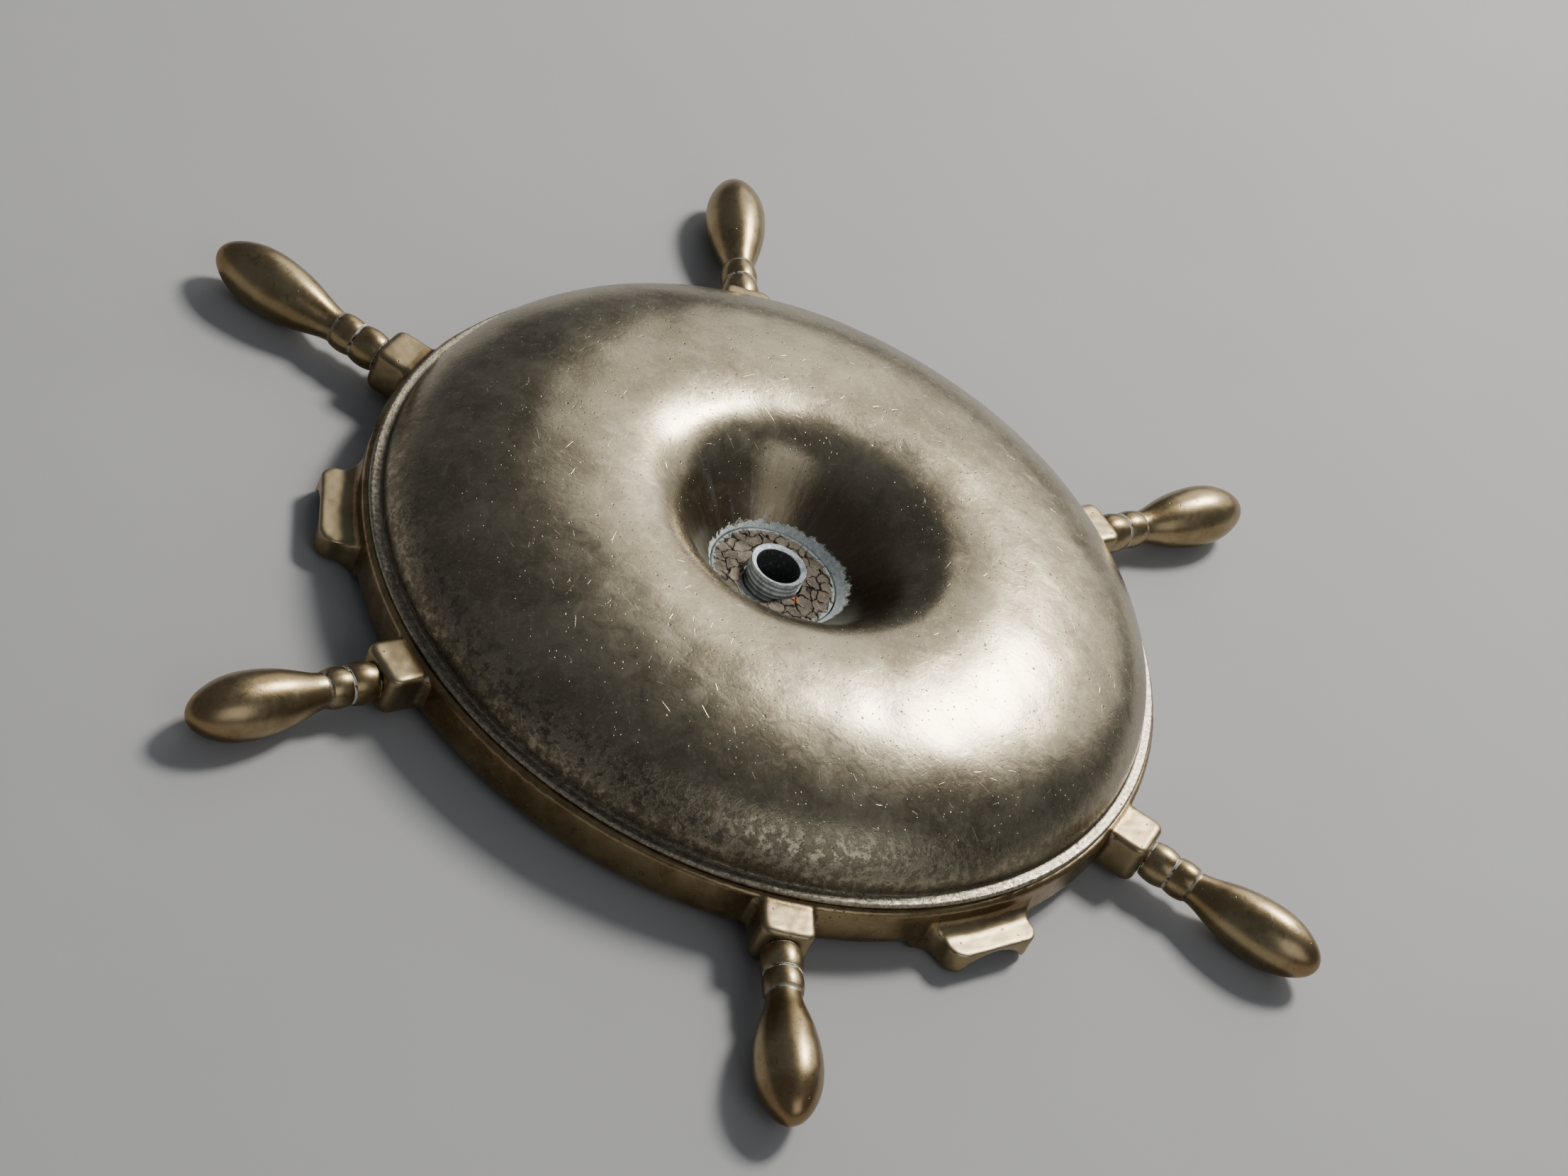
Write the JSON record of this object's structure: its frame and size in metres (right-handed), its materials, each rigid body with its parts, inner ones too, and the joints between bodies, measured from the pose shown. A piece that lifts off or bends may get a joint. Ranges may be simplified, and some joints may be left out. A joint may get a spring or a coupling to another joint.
{
  "type": "ship's wheel ashtray top",
  "caption": "Brass ship's-wheel ashtray top: ring-shaped bowl inside a rim with turned handles and cigarette rests, on a threaded hub tube",
  "frame": {"origin": "on the wheel axis, in the plane that the handle bulbs lie on when the part lies with its ash side down", "axes": "+Z along the wheel axis towards the domed underside of the bowl (the side a column screws to), +Y along handle_2, +X between handle_1 and handle_6; in use on a stand the part is turned over and +Z points down"},
  "size_m": [0.261, 0.3, 0.0366],
  "materials": {
    "rim_brass": "polished cast brass gone dark brown",
    "handle_brass": "turned and polished, warm bronze tarnish",
    "bowl_brass": "satin cast brass, grey-khaki, finely pitted",
    "zinc_steel": "zinc-plated, blue-white corrosion",
    "stud_steel": "plain steel",
    "leather": "dry and cracked"
  },
  "bodies": {
    "hub": {"hub_tube": "zinc_steel", "hub_shim": "bowl_brass", "hub_lock_nut": "handle_brass", "hub_cap": "handle_brass"},
    "tray": {"wheel_rim": "rim_brass", "handle_1": "handle_brass", "handle_2": "handle_brass", "handle_3": "handle_brass", "handle_4": "handle_brass", "handle_5": "handle_brass", "handle_6": "handle_brass", "handle_studs": "stud_steel", "ash_bowl": "bowl_brass", "leather_washer": "leather"}
  },
  "joints": [
    {"name": "wheel_turn", "type": "hinge", "parent": "hub", "child": "tray", "pos_m": [0, 0, 0.0154], "axis": [0, 0, 1], "continuous": true}
  ]
}
